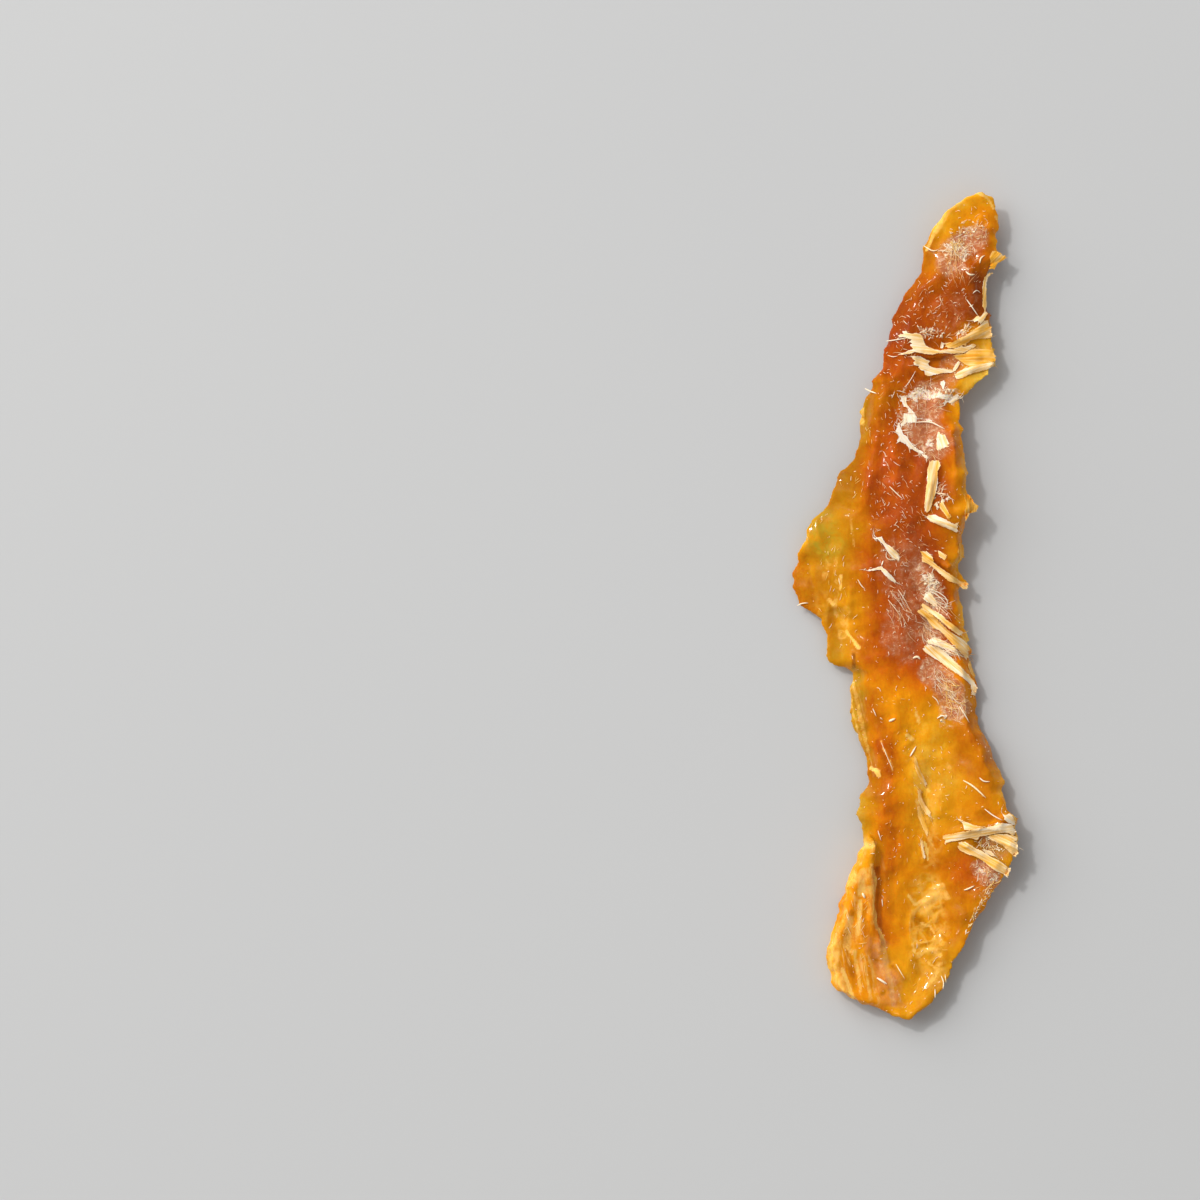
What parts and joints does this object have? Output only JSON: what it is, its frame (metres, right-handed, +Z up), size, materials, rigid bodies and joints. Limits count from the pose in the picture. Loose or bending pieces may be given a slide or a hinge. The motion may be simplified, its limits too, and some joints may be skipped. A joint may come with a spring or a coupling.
{
  "type": "dried stockfish strip",
  "caption": "Flat, curled strip of dried stockfish with a side lobe, a folded corner and torn edges, dried shreds of fibre lifting off its upper face; it lies on a surface.",
  "frame": {"origin": "centre of the strip's box in plan, on the surface that it lies on", "axes": "+Y along the strip, from the folded corner to the narrow tip; +X across it, away from the side lobe; +Z up out of the face with the shreds"},
  "size_m": [0.041, 0.149, 0.0075],
  "materials": {
    "dried_flesh": "glossy amber dried flesh, red-brown where it is thick, yellow at the thin edges"
  },
  "bodies": {
    "root": {"stockfish_strip": "dried_flesh"}
  },
  "joints": []
}
